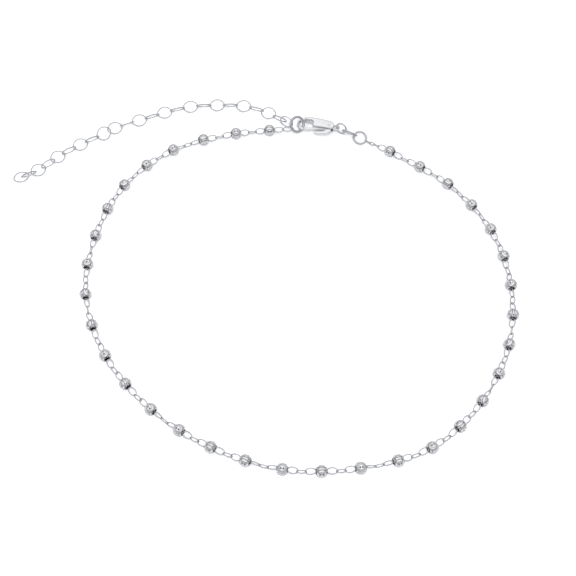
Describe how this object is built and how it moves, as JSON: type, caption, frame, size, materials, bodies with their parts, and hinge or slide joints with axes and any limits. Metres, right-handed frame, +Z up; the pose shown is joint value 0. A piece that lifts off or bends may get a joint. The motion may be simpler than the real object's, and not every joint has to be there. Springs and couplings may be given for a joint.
{
  "type": "choker necklace",
  "caption": "Fine choker of small faceted silver balls on a light link chain, closed by a lobster clasp, with an extender chain.",
  "frame": {"origin": "on the table it lies on, under the middle of the whole piece with its extender", "axes": "+Z up from the table, +Y from the front of the loop towards the clasp, +X to the right along the longest side"},
  "size_m": [0.1303, 0.1143, 0.0045],
  "materials": {
    "cut_silver": "moon-cut silver, bright dish cuts",
    "wire_silver": "drawn and soldered silver wire, tumble polished",
    "cast_silver": "cast silver, tumble polished"
  },
  "bodies": {
    "necklace": {"strand_1": "cut_silver", "strand_2": "cut_silver", "strand_3": "cut_silver", "strand_4": "cut_silver", "strand_5": "cut_silver", "strand_6": "cut_silver", "hook_ring": "wire_silver", "tail_ring": "wire_silver", "middle_ring": "wire_silver", "strand_ring": "wire_silver", "extender_link_01": "wire_silver", "extender_link_02": "wire_silver", "extender_link_03": "wire_silver", "extender_link_04": "wire_silver", "extender_link_05": "wire_silver", "extender_link_06": "wire_silver", "extender_link_07": "wire_silver", "extender_link_08": "wire_silver", "extender_link_09": "wire_silver", "extender_link_10": "wire_silver", "extender_link_11": "wire_silver", "extender_link_12": "wire_silver", "extender_link_13": "wire_silver", "extender_link_14": "wire_silver", "extender_link_15": "wire_silver", "extender_link_16": "wire_silver", "extender_link_17": "wire_silver", "extender_link_18": "wire_silver", "extender_link_19": "wire_silver", "extender_link_20": "wire_silver", "extender_link_21": "wire_silver", "extender_link_22": "wire_silver", "extender_link_23": "wire_silver", "extender_link_24": "wire_silver", "clasp_body": "cast_silver", "trigger_pin": "cast_silver"},
    "lever": {"trigger": "cast_silver"}
  },
  "joints": [
    {"name": "trigger_hinge", "type": "hinge", "parent": "necklace", "child": "lever", "pos_m": [0.01882, 0.04708, 0.00135], "axis": [0, 0, -1], "range_deg": [0, 11], "stiffness_Nm_per_rad": 0.01, "springref_deg": -8.59}
  ]
}
